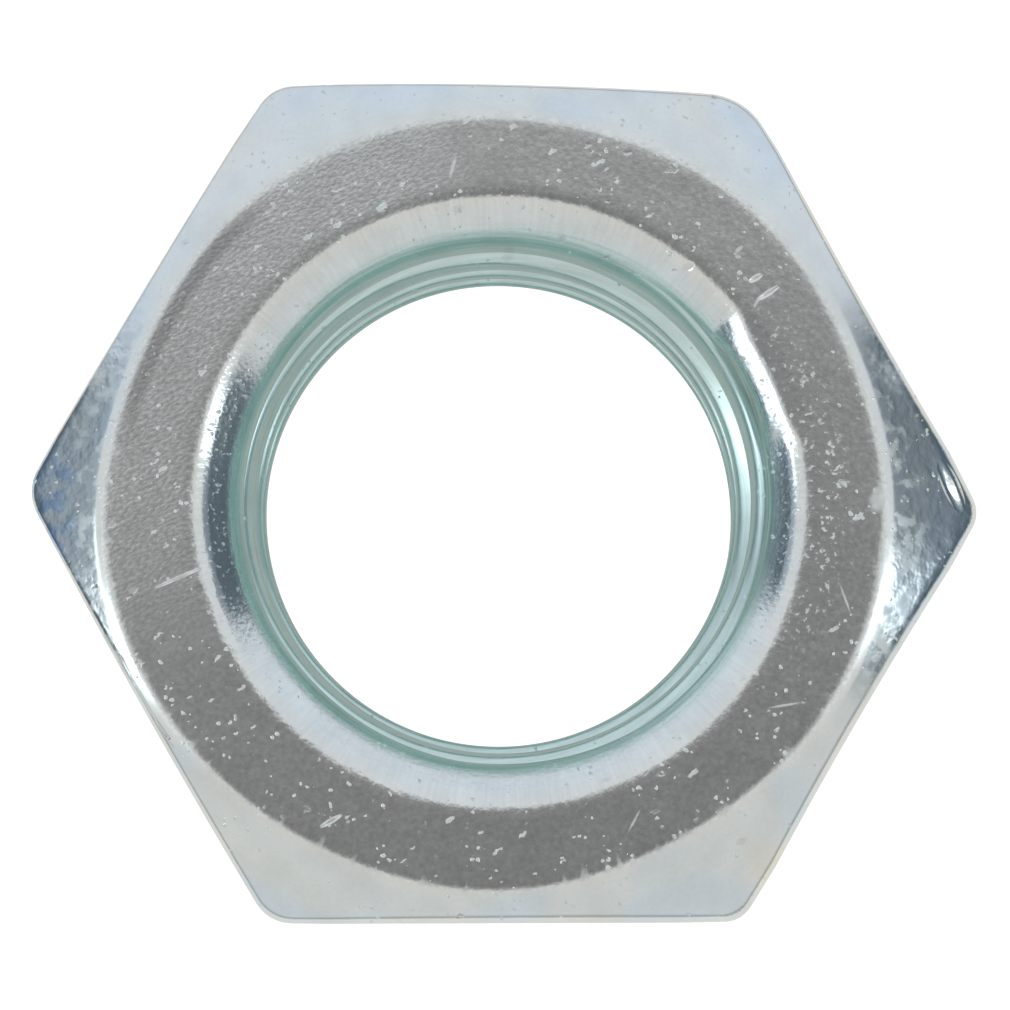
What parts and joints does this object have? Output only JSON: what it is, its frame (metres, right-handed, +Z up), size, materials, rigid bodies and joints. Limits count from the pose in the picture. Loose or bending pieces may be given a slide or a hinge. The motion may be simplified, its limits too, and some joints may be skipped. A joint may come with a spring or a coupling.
{
  "type": "thin hexagon nut",
  "caption": "Thin hexagon nut with a fine right-hand thread, countersunk at both ends, chamfered corners and a bright zinc finish.",
  "frame": {"origin": "middle of the lower bearing face, on the axis of the thread", "axes": "+Z up along the thread's axis, X across two opposite corners, Y across two opposite flats"},
  "size_m": [0.0218, 0.019, 0.006],
  "materials": {
    "zinc_plated_steel": "bright zinc plating with a clear, faintly blue passivation"
  },
  "bodies": {
    "root": {"hex_nut": "zinc_plated_steel"}
  },
  "joints": []
}
